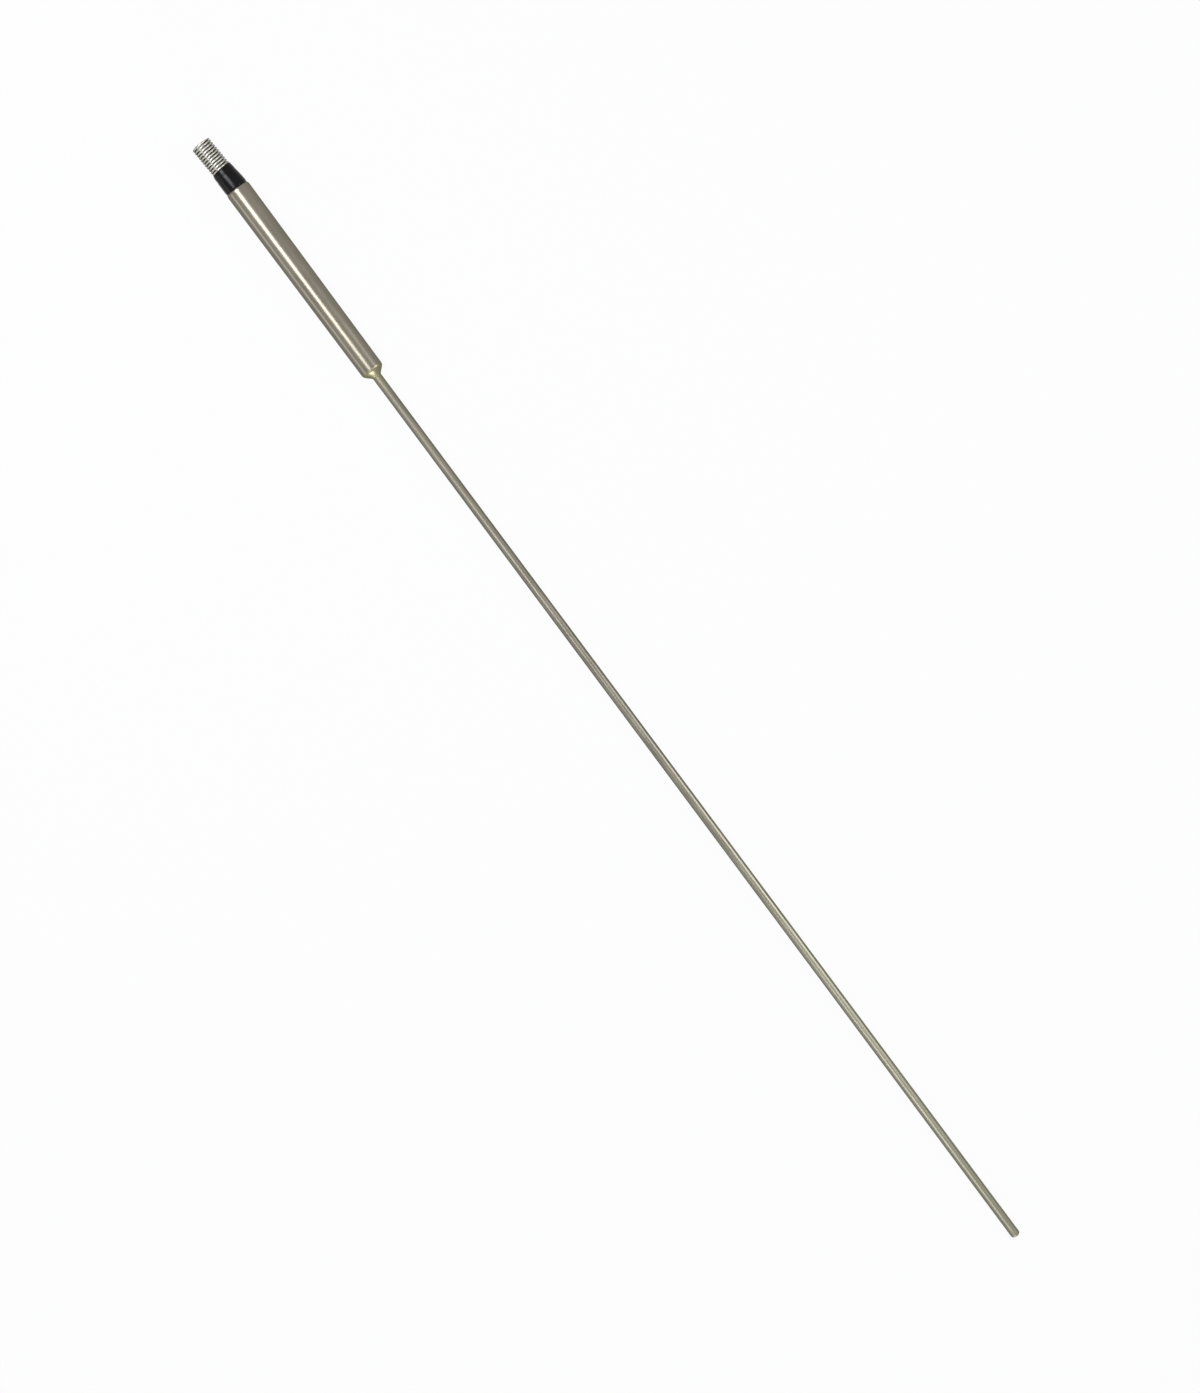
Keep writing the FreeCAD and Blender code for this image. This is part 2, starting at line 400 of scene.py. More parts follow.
class Finish:
    """A material in the making, with its node tree and shader."""

    # Colour of a metal's glancing reflections
    GLANCE = (0.5, 0.5, 0.5, 1)
    # Detail of every cloud
    DETAIL = 3.0

    def __init__(self, name, metallic, colour):
        self.material = bpy.data.materials.new(name)
        self.material.use_nodes = True
        self.tree = self.material.node_tree
        self.shader = self.tree.nodes["Principled BSDF"]
        self.shader.inputs["Metallic"].default_value = metallic
        self.shader.inputs["Base Color"].default_value = (*colour, 1)
        if metallic:
            self.shader.inputs["Specular Tint"].default_value = self.GLANCE
        self.place = self.tree.nodes.new("ShaderNodeTexCoord").outputs["Object"]

    def join(self, source, target):
        self.tree.links.new(source, target)

    def cloud(self, spacing):
        """Soft noise whose patches are spacing metres long along X, Y and Z, from 0 to 1."""
        mapping = self.tree.nodes.new("ShaderNodeMapping")
        mapping.inputs["Scale"].default_value = [1 / length for length in spacing]
        self.join(self.place, mapping.inputs["Vector"])
        noise = self.tree.nodes.new("ShaderNodeTexNoise")
        noise.inputs["Scale"].default_value = 1.0
        noise.inputs["Detail"].default_value = self.DETAIL
        self.join(mapping.outputs["Vector"], noise.inputs["Vector"])
        return noise.outputs["Fac"]

    def spread(self, source, low, high, start=0.3, end=0.7):
        """Carry a value from one range to another."""
        ranged = self.tree.nodes.new("ShaderNodeMapRange")
        ranged.interpolation_type = "SMOOTHSTEP"
        ranged.inputs["From Min"].default_value = start
        ranged.inputs["From Max"].default_value = end
        ranged.inputs["To Min"].default_value = low
        ranged.inputs["To Max"].default_value = high
        self.join(source, ranged.inputs["Value"])
        return ranged.outputs["Result"]

    def up_to(self, mask, most):
        """Carry a mask of 0 to 1 on to 0 to most."""
        return self.spread(mask, 0.0, most, 0.0, 1.0)

    def sums(self, operation, first, second):
        """Work out one value from two, the second of which may be a plain number."""
        node = self.tree.nodes.new("ShaderNodeMath")
        node.operation = operation
        self.join(first, node.inputs[0])
        if isinstance(second, float):
            node.inputs[1].default_value = second
        else:
            self.join(second, node.inputs[1])
        return node.outputs["Value"]

    def blend(self, share, first, second):
        """Mix two colours, each a plain colour or another node's."""
        node = self.tree.nodes.new("ShaderNodeMix")
        node.data_type = "RGBA"
        self.join(share, node.inputs["Factor"])
        for name, colour in (("A", first), ("B", second)):
            socket = [s for s in node.inputs if s.name == name and s.type == "RGBA"][0]
            if isinstance(colour, bpy.types.NodeSocket):
                self.join(colour, socket)
            else:
                socket.default_value = (*colour, 1)
        return [s for s in node.outputs if s.type == "RGBA"][0]

    def mottle(self, cloud, colour, low, high):
        """A colour that a cloud shades from low to high times as light."""
        return self.blend(self.spread(cloud, 0.0, 1.0), shade(colour, low), shade(colour, high))

    def along(self):
        """The surface's place along X."""
        split = self.tree.nodes.new("ShaderNodeSeparateXYZ")
        self.join(self.place, split.inputs["Vector"])
        return split.outputs["X"]

    def near_x(self, far, close, wobble, cloud):
        """0 at far, 1 at close along X, with an edge that wanders by wobble metres."""
        shift = self.spread(cloud, -wobble, wobble)
        return self.spread(self.sums("ADD", self.along(), shift), 0.0, 1.0, far, close)

    def off_axis(self):
        """Distance from the cocked axis of the boot and coil."""
        turn = self.tree.nodes.new("ShaderNodeVectorRotate")
        turn.rotation_type = "Z_AXIS"
        turn.inputs["Center"].default_value = rim_middle()
        turn.inputs["Angle"].default_value = -sizes().cock_angle
        self.join(self.place, turn.inputs["Vector"])
        across = self.tree.nodes.new("ShaderNodeVectorMath")
        across.operation = "MULTIPLY"
        across.inputs[1].default_value = (0, 1, 1)
        self.join(turn.outputs["Vector"], across.inputs[0])
        length = self.tree.nodes.new("ShaderNodeVectorMath")
        length.operation = "LENGTH"
        self.join(across.outputs["Vector"], length.inputs[0])
        return length.outputs["Value"]

    def colour(self, source):
        self.join(source, self.shader.inputs["Base Color"])

    def roughness(self, source):
        self.join(source, self.shader.inputs["Roughness"])

    def bumps(self, *layers):
        """Stack bumps, each a (height, depth in metres)."""
        normal = None
        for height, depth in layers:
            bump = self.tree.nodes.new("ShaderNodeBump")
            bump.inputs["Strength"].default_value = 1.0
            bump.inputs["Distance"].default_value = depth
            self.join(height, bump.inputs["Height"])
            if normal is not None:
                self.join(normal, bump.inputs["Normal"])
            normal = bump.outputs["Normal"]
        self.join(normal, self.shader.inputs["Normal"])


def shade(colour, share):
    """A colour made lighter or darker."""
    return tuple(min(1.0, part * share) for part in colour)


def drawn_steel():
    """Dull sheath steel with fine draw lines, straw-coloured by the braze and paler to the tip."""
    steel = colours().sheath
    finish = Finish("drawn_steel", 1.0, steel)
    lines = finish.cloud((14 * MM, 0.12 * MM, 0.12 * MM))
    patches = finish.cloud((11 * MM, 2.2 * MM, 2.2 * MM))
    fresh = finish.mottle(patches, steel, 0.92, 1.07)
    annealed = finish.near_x(120 * MM, 320 * MM, 20 * MM, patches)
    plain = finish.blend(annealed, fresh, colours().annealed)
    tint = finish.near_x(BRAZE_HIGH.x + 9 * MM, BRAZE_HIGH.x, 1.5 * MM, patches)
    weld = finish.near_x(SHEATH_HIGH.x - 4 * MM, SHEATH_HIGH.x - 1 * MM, 0.4 * MM, patches)
    faint_tint = finish.sums("MULTIPLY", tint, 0.45)
    heated = finish.blend(faint_tint, plain, colours().heat_tint)
    faint_weld = finish.sums("MULTIPLY", weld, 0.4)
    finish.colour(finish.blend(faint_weld, heated, shade(steel, 1.05)))
    scaled = finish.near_x(BRAZE_HIGH.x + 110 * MM, BRAZE_HIGH.x + 10 * MM, 9 * MM, patches)
    dulled = finish.sums("ADD", finish.up_to(scaled, 0.2), finish.spread(patches, 0.32, 0.39))
    finish.roughness(finish.sums("ADD", dulled, finish.up_to(weld, 0.18)))
    finish.bumps((lines, 0.004 * MM), (patches, 0.004 * MM))
    return finish.material


def ground_steel():
    """Sleeve steel with fine grinding rings, duller and straw-coloured on the nose."""
    steel = colours().sleeve
    finish = Finish("ground_steel", 1.0, steel)
    rings = finish.cloud((0.13 * MM, 9 * MM, 9 * MM))
    patches = finish.cloud((9 * MM, 3 * MM, 3 * MM))
    specks = finish.cloud((0.5 * MM, 0.4 * MM, 0.4 * MM))
    plain = finish.mottle(patches, steel, 0.95, 1.05)
    tint = finish.near_x(SLEEVE_HIGH.x - 2.7 * MM, SLEEVE_HIGH.x - 1.7 * MM, 0.12 * MM, specks)
    finish.colour(finish.blend(tint, plain, colours().heat_tint))
    dull = finish.near_x(SLEEVE_HIGH.x - 30 * MM, SLEEVE_HIGH.x, 4 * MM, patches)
    even = finish.spread(dull, 0.25, 0.26, 0.0, 1.0)
    uneven = finish.sums("ADD", even, finish.spread(patches, -0.01, 0.01))
    finish.roughness(finish.sums("ADD", uneven, finish.up_to(tint, 0.12)))
    finish.bumps((rings, 0.001 * MM), (patches, 0.001 * MM))
    return finish.material


def flowed_braze():
    """Pale yellow braze with dull flux stains."""
    metal = colours().braze
    finish = Finish("flowed_braze", 1.0, metal)
    stains = finish.cloud((0.7 * MM, 0.6 * MM, 0.6 * MM))
    ripples = finish.cloud((0.3 * MM, 0.8 * MM, 0.8 * MM))
    stained = finish.mottle(stains, metal, 0.82, 1.08)
    flowed = finish.near_x(BRAZE_LOW.x, BRAZE_LOW.x + 0.6 * MM, 0.15 * MM, stains)
    finish.colour(finish.blend(flowed, colours().heat_tint, stained))
    finish.roughness(finish.spread(stains, 0.46, 0.58))
    finish.bumps((ripples, 0.015 * MM))
    return finish.material


def boot_rubber():
    """Black rubber with a faintly grainy, handled skin."""
    black = colours().boot
    finish = Finish("boot_rubber", 0.0, black)
    handled = finish.cloud((2.4 * MM, 1.6 * MM, 1.6 * MM))
    grain = finish.cloud((0.12 * MM, 0.12 * MM, 0.12 * MM))
    finish.shader.inputs["Specular IOR Level"].default_value = 0.145
    finish.colour(finish.mottle(handled, black, 0.8, 1.5))
    finish.roughness(finish.spread(handled, 0.17, 0.23))
    finish.bumps((grain, 0.0015 * MM), (handled, 0.01 * MM))
    return finish.material


def spring_wire():
    """Mottled spring wire, with painted shade that darkens it between the turns."""
    wire = colours().coil
    finish = Finish("spring_wire", 1.0, wire)
    patches = finish.cloud((1.6 * MM, 1.6 * MM, 1.6 * MM))
    scratches = finish.cloud((0.07 * MM, 0.5 * MM, 0.5 * MM))
    mottled_wire = finish.mottle(patches, wire, 0.9, 1.06)
    # Painted shade: between the turns, where the neighbouring turns shade the wire, its colour falls
    # to about a third; only the outer crest keeps its full colour.
    crest = COIL_HIGH.z - 0.08 * MM
    groove = crest - 0.14 * MM
    outer = finish.spread(finish.off_axis(), 0.0, 1.0, groove, crest)
    finish.colour(finish.blend(outer, shade(wire, 0.34), mottled_wire))
    finish.roughness(finish.spread(patches, 0.29, 0.37))
    finish.bumps((scratches, 0.003 * MM))
    return finish.material


def lead_insulation():
    """Off-white extruded insulation, slightly grubby."""
    cover = colours().insulation
    finish = Finish("lead_insulation", 0.0, cover)
    grime = finish.cloud((3 * MM, 0.5 * MM, 0.5 * MM))
    finish.colour(finish.mottle(grime, cover, 0.85, 1.0))
    finish.roughness(finish.spread(grime, 0.38, 0.5))
    finish.bumps((grime, 0.01 * MM))
    return finish.material


def bare_copper():
    """Cut copper strands, partly dulled."""
    copper = colours().copper
    finish = Finish("bare_copper", 1.0, copper)
    tarnish = finish.cloud((0.6 * MM, 0.15 * MM, 0.15 * MM))
    finish.colour(finish.mottle(tarnish, copper, 0.7, 1.0))
    finish.roughness(finish.spread(tarnish, 0.25, 0.45))
    finish.bumps((tarnish, 0.004 * MM))
    return finish.material


def inner_finish(name, metallic, colour, grain, roughness, relief):
    """Finish of a piece closed up inside the probe."""
    finish = Finish(name, metallic, colour)
    unevenness = 0.06
    cloud = finish.cloud((grain, grain, grain))
    finish.colour(finish.mottle(cloud, colour, 0.85, 1.0))
    finish.roughness(finish.spread(cloud, roughness - unevenness, roughness + unevenness))
    finish.bumps((cloud, relief))
    return finish.material


# Pieces


class PROBE_OT_sheath(bpy.types.Operator):
    """Model the thin closed sheath with its domed, welded tip"""

    bl_idname = "probe.sheath"
    bl_label = "Sheath"

    def execute(self, context):
        radius = SHEATH_HIGH.y
        bore = CORE_HIGH.z
        tip_x = SHEATH_HIGH.x
        dome = sizes().tip_dome
        rows = 9
        # A power just under 1 makes the dome a little fuller than an ellipse
        fullness = 2 / 2.1
        outline = [
            (POWDER_HIGH.x, bore),
            (SHEATH_LOW.x, bore),
            (SHEATH_LOW.x, radius),
            (tip_x - dome, radius),
        ]
        for row in range(1, rows):
            swing = math.pi / 2 * row / rows
            x = tip_x - dome + dome * math.sin(swing) ** fullness
            outline.append((x, radius * math.cos(swing) ** fullness))
        piece = turn_outline("sheath_tube", outline)
        bpy.ops.mesh.extrude_edges_move(
            TRANSFORM_OT_translate={"value": (tip_x - outline[-1][0], 0, 0)})
        bpy.ops.mesh.merge(type="CENTER")
        pick_open_edges()
        bpy.ops.mesh.edge_face_add()
        round_ring(piece, SHEATH_LOW.x, radius, width=0.15 * MM, steps=3)
        close_piece(piece)
        settle(piece, drawn_steel(), "stainless", "sheath")
        return {"FINISHED"}


class PROBE_OT_sleeve(bpy.types.Operator):
    """Model the transition sleeve with its rolled rim and chamfered nose"""

    bl_idname = "probe.sleeve"
    bl_label = "Transition Sleeve"

    def execute(self, context):
        rim_radius = SLEEVE_HIGH.y
        radius = sizes().nose_end
        rim_bore = rim_radius - sizes().sleeve_wall
        bore = POTTING_HIGH.z + FIT
        nose_radius = BRAZE_HIGH.y
        seat_radius = SHEATH_HIGH.y
        seat_length = 0.5 * MM
        rim_x = SLEEVE_LOW.x
        front_x = SLEEVE_HIGH.x
        slope = math.tan(sizes().nose_angle)
        corner_x = front_x - (radius - nose_radius) / slope
        roll = sizes().rim_roll
        roll_length = sizes().rim_roll_length
        outline = [(rim_x, rim_bore)]
        roll_rows = 7
        for row in range(roll_rows + 1):
            swing = math.pi / 2 * row / roll_rows
            x = rim_x + roll_length * (1 - math.cos(swing))
            outline.append((x, rim_radius - roll * (1 - math.sin(swing))))
        crown = sizes().nose_crown
        across = crown * math.sin(sizes().nose_angle)
        up = crown * math.cos(sizes().nose_angle)
        crown_rows = 4
        for row in range(crown_rows + 1):
            share = row / crown_rows
            swell = 4 * share * (1 - share)
            x = corner_x + (front_x - corner_x) * share + across * swell
            outline.append((x, radius + (nose_radius - radius) * share + up * swell))
        outline += [
            (front_x, seat_radius),
            (front_x - seat_length, seat_radius),
            (POTTING_HIGH.x, bore),
            (POTTING_LOW.x, bore),
            (POTTING_LOW.x, rim_bore),
        ]
        piece = turn_outline("sleeve_shell", outline)
        close_section()
        round_ring(piece, rim_x, rim_radius - roll, width=0.04 * MM, steps=2)
        round_ring(piece, corner_x, radius, width=sizes().corner_round, steps=6)
        close_piece(piece)
        settle(piece, ground_steel(), "stainless", "transition_sleeve")
        return {"FINISHED"}


class PROBE_OT_braze(bpy.types.Operator):
    """Model the hollow, unevenly flowed braze between the nose and the sheath"""

    bl_idname = "probe.braze"
    bl_label = "Braze"

    def execute(self, context):
        sheath_radius = SHEATH_HIGH.y
        nose_radius = BRAZE_HIGH.y
        front_x = SLEEVE_HIGH.x
        angle = sizes().nose_angle
        hollow = sizes().fillet_radius
        film = sizes().braze_film
        # The hollow stops just above the sheath, and the hidden faces lie sunk in the steel
        lift = 0.03 * MM
        sink = 0.06 * MM
        toe_run = 0.25 * MM
        meet_x = front_x + (nose_radius - sheath_radius) / math.tan(angle)
        toe_x = meet_x + hollow * math.tan(angle / 2)
        film_x = front_x - film * math.cos(angle)
        film_radius = nose_radius + film * math.sin(angle)
        outline = [
            (front_x - film, sheath_radius - sink),
            (film_x - sink, film_radius - sink),
            ((film_x + front_x) / 2, (film_radius + nose_radius) / 2),
        ]
        steps = 10
        for step in range(steps + 1):
            turn = angle * (1 - step / steps)
            x = toe_x - hollow * math.sin(turn)
            outline.append((x, sheath_radius + lift + hollow * (1 - math.cos(turn))))
        outline.append((toe_x + toe_run, sheath_radius - sink))
        piece = turn_outline("braze_ring", outline)
        close_section()
        close_piece(piece)
        apply_modifier(piece, "SUBSURF", levels=1, render_levels=1)
        roughen(piece, "braze_flow", grain=0.9 * MM, depth=sizes().braze_flow)
        settle(piece, flowed_braze(), "braze", "braze_fillet")
        return {"FINISHED"}


class PROBE_OT_boot(bpy.types.Operator):
    """Model the rubber boot, shrunk from the sleeve's rim down on to the coil"""

    bl_idname = "probe.boot"
    bl_label = "Boot"

    # Share of the showing length behind the rim, and radius over the plug's radius
    SKIN = (
        (0.015, 0.98), (0.05, 0.998), (0.10, 1.012), (0.16, 1.018), (0.26, 1.014), (0.38, 1.0),
        (0.50, 0.986), (0.60, 0.972), (0.65, 0.960), (0.69, 0.944), (0.73, 0.947), (0.77, 0.950),
        (0.83, 0.945), (0.89, 0.934), (0.94, 0.920), (0.975, 0.905), (1.0, 0.892),
    )

    def execute(self, context):
        plug = BOOT_HIGH.z
        front_x = BOOT_HIGH.x
        rim_x = SLEEVE_LOW.x
        show = sizes().boot_show
        way = sizes().boot_way
        socket = COIL_HIGH.z + FIT
        seat_x = rim_x - show + sizes().coil_grip
        neck = plug * 0.99
        lip_x = rim_x - 0.92 * show
        outline = [(front_x, way), (front_x, plug), (rim_x, neck)]
        outline += [(rim_x - share * show, plug * swell) for share, swell in self.SKIN]
        outline += [(rim_x - show, socket), (seat_x, socket), (seat_x, way), (rim_x, way)]
        piece = turn_outline("boot_body", outline)
        close_section()
        pick_edges(piece, lambda point: point.x < lip_x)
        turn_about_z(sizes().lip_slant, (rim_x - show, 0, 0))
        cock_behind_rim(piece)
        close_piece(piece)
        apply_modifier(piece, "SUBSURF", levels=1, render_levels=1)
        roughen(piece, "boot_dents", grain=2.2 * MM, depth=sizes().boot_dents)
        settle(piece, boot_rubber(), "boot_rubber", "boot")
        return {"FINISHED"}


class PROBE_OT_coil(bpy.types.Operator):
    """Model the close-wound strain relief coil from round wire"""

    bl_idname = "probe.coil"
    bl_label = "Strain Relief Coil"

    TURN_STEPS = 64

    def execute(self, context):
        wire = sizes().coil_wire / 2
        radius = COIL_HIGH.z - wire
        turns = sizes().coil_turns
        climb = turns * sizes().coil_pitch
        seat_x = SLEEVE_LOW.x - sizes().boot_show + sizes().coil_grip
        start = (seat_x - wire, 0, radius)
        piece = add_ring("relief_coil", WIRE_SIDES, wire, start, ACROSS_Y)
        steps = round(turns * self.TURN_STEPS)
        apply_modifier(
            piece, "SCREW", axis="X", angle=-2 * math.pi * turns, screw_offset=-climb,
            steps=steps, render_steps=steps, use_merge_vertices=False)
        edit_edges()
        cap_ends()
        bpy.ops.mesh.select_all(action="SELECT")
        turn_about_z(sizes().cock_angle, rim_middle())
        self.grind_end(piece)
        self.drop_loose_bits(piece, seat_x - sizes().coil_pitch)
        close_piece(piece)
        settle(piece, spring_wire(), "spring_steel", "strain_relief_spring")
        return {"FINISHED"}

    def grind_end(self, piece):
        """Grind the last turn off square to the sleeve."""
        reach = sizes().boot_show + sizes().coil_show
        end_x = SLEEVE_LOW.x - reach * math.cos(sizes().cock_angle)
        block = 4 * COIL_HIGH.z
        bpy.ops.mesh.normals_make_consistent(inside=False)
        bpy.ops.object.mode_set(mode="OBJECT")
        bpy.ops.object.select_all(action="DESELECT")
        bpy.ops.mesh.primitive_cube_add(size=block, location=(end_x - block / 2, 0, 0))
        stone = bpy.context.active_object
        apply_modifier(piece, "BOOLEAN", object=stone, operation="DIFFERENCE", solver="EXACT")
        bpy.ops.object.delete()
        bpy.context.view_layer.objects.active = piece
        piece.select_set(True)
        bpy.ops.object.mode_set(mode="EDIT")

    def drop_loose_bits(self, piece, seat_x):
        """Keep only the wire that runs back to the coil's seat."""
        pick_edges(piece, lambda point: point.x > seat_x)
        bpy.ops.mesh.select_linked()
        bpy.ops.mesh.select_all(action="INVERT")
        bpy.ops.mesh.delete(type="VERT")


class PROBE_OT_lead_wires(bpy.types.Operator):
    """Model the three insulated lead wires with their cut strands at the coil's mouth"""

    bl_idname = "probe.lead_wires"
    bl_label = "Lead Wires"

    def execute(self, context):
        covers = self.copies(self.model_cover(), "lead_cover", "lead_insulation")
        strands = self.copies(self.model_strand(), "lead_core", "lead_strand")
        cover_finish = lead_insulation()
        strand_finish = bare_copper()
        for number in WIRE_NUMBERS:
            settle(covers[number], cover_finish, "wire_insulation", f"lead_insulation_{number}")
            settle(strands[number], strand_finish, "copper", f"lead_strand_{number}")
        return {"FINISHED"}

    def run(self):
        """Where the wires start, and where they are cut before they are cocked."""
        low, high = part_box("lead_insulation_1")
        reach = (SLEEVE_LOW.x - low.x) / math.cos(sizes().cock_angle)
        return high.x, SLEEVE_LOW.x - reach

    def model_cover(self):
        low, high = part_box("lead_insulation_1")
        core_low, core_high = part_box("lead_strand_1")
        outer = (high.z - low.z) / 2
        inner = (core_high.z - core_low.z) / 2 + FIT
        front_x, cut_x = self.run()
        rim_x = SLEEVE_LOW.x
        outline = [
            (front_x, inner), (front_x, outer), (rim_x, outer), (cut_x, outer), (cut_x, inner),
            (rim_x, inner),
        ]
        piece = turn_outline("lead_cover", outline, COVER_SIDES)
        close_section()
        round_ring(piece, cut_x, outer, width=0.05 * MM, steps=3)
        close_piece(piece)
        return piece

    def model_strand(self):
        """A rod that parts into seven twisted strands towards its cut end."""
        low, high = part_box("lead_strand_1")
        radius = (high.z - low.z) / 2
        waist = radius * 0.9
        strand = radius / 3
        # Strands just thinner than their places, so that they stay apart
        strand_radius = strand * 0.98
        strands_around = 6
        twist = 270
        steps = 16
        front_x, cut_x = self.run()
        part_x = cut_x + sizes().strand_show
        start_x = part_x + 0.3 * MM
        outline = [(front_x, radius), (SLEEVE_LOW.x, radius), (part_x, waist)]
        piece = turn_outline("lead_core", outline, WIRE_SIDES)
        cap_ends()
        bpy.ops.mesh.select_all(action="DESELECT")
        places = [(0, 0)]
        for number in range(strands_around):
            swing = math.radians(360 / strands_around * number)
            places.append((2 * strand * math.cos(swing), 2 * strand * math.sin(swing)))
        for y, z in places:
            bpy.ops.mesh.primitive_circle_add(
                vertices=STRAND_SIDES, radius=strand_radius, location=(start_x, y, z),
                rotation=ACROSS_X)
        pick_edges(piece, lambda point: abs(point.x - start_x) < NEAR)
        for step in range(steps):
            x = start_x + (cut_x - start_x) * (step + 1) / steps
            bpy.ops.mesh.extrude_edges_move(
                TRANSFORM_OT_translate={"value": ((cut_x - start_x) / steps, 0, 0)})
            bpy.ops.transform.rotate(
                value=math.radians(twist / steps), orient_axis="X", center_override=(x, 0, 0))
        cap_ends()
        close_piece(piece)
        return piece

    def copies(self, first, name, node):
        """Lay a copy of a wire in each of its three places."""
        made = {}
        for number in WIRE_NUMBERS:
            bpy.ops.object.select_all(action="DESELECT")
            first.select_set(True)
            bpy.context.view_layer.objects.active = first
            if number < WIRE_NUMBERS[-1]:
                bpy.ops.object.duplicate(linked=False)
            piece = bpy.context.active_object
            piece.name = f"{name}_{number}"
            piece.data.name = piece.name
            low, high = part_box(f"{node}_{number}")
            radius = (high.z - low.z) / 2
            edit_edges()
            bpy.ops.mesh.select_all(action="SELECT")
            bpy.ops.transform.translate(value=(0, high.y - radius, high.z - radius))
            cock_behind_rim(piece)
            bpy.ops.object.mode_set(mode="OBJECT")
            made[number] = piece
        return made


class PROBE_OT_inner_parts(bpy.types.Operator):
    """Give the closed-up CAD parts the finishes of what they are made of"""

    bl_idname = "probe.inner_parts"
    bl_label = "Inner Parts"

    # Finish, metallic, colour, size of its grain, roughness, relief and the nodes that have it
    FINISHES = (
        ("fired_ceramic", 0.0, (0.80, 0.78, 0.70), 0.5 * MM, 0.6, 0.01 * MM, ("sensing_element",)),
        ("packed_mineral", 0.0, (0.72, 0.71, 0.68), 0.3 * MM, 0.8, 0.02 * MM,
         ("mineral_core", "tip_powder")),
        ("platinum", 1.0, (0.57, 0.55, 0.52), 0.2 * MM, 0.3, 0.002 * MM,
         ("joint_bar", "element_lead_1", "element_lead_2")),
        ("nickel", 1.0, (0.42, 0.38, 0.32), 0.3 * MM, 0.35, 0.003 * MM,
         ("conductor_1", "conductor_2", "conductor_3")),
        ("tinned_copper", 1.0, (0.50, 0.50, 0.47), 0.4 * MM, 0.35, 0.004 * MM,
         ("splice_1", "splice_2", "splice_3")),
        ("potting_resin", 0.0, (0.022, 0.022, 0.025), 1.2 * MM, 0.5, 0.02 * MM, ("potting",)),
    )

    def execute(self, context):
        for name, metallic, colour, grain, roughness, relief, nodes in self.FINISHES:
            finish = inner_finish(name, metallic, colour, grain, roughness, relief)
            for node in nodes:
                part = frame["nodes"][node]
                part.data.materials.clear()
                part.data.materials.append(finish)
        return {"FINISHED"}


# Stage


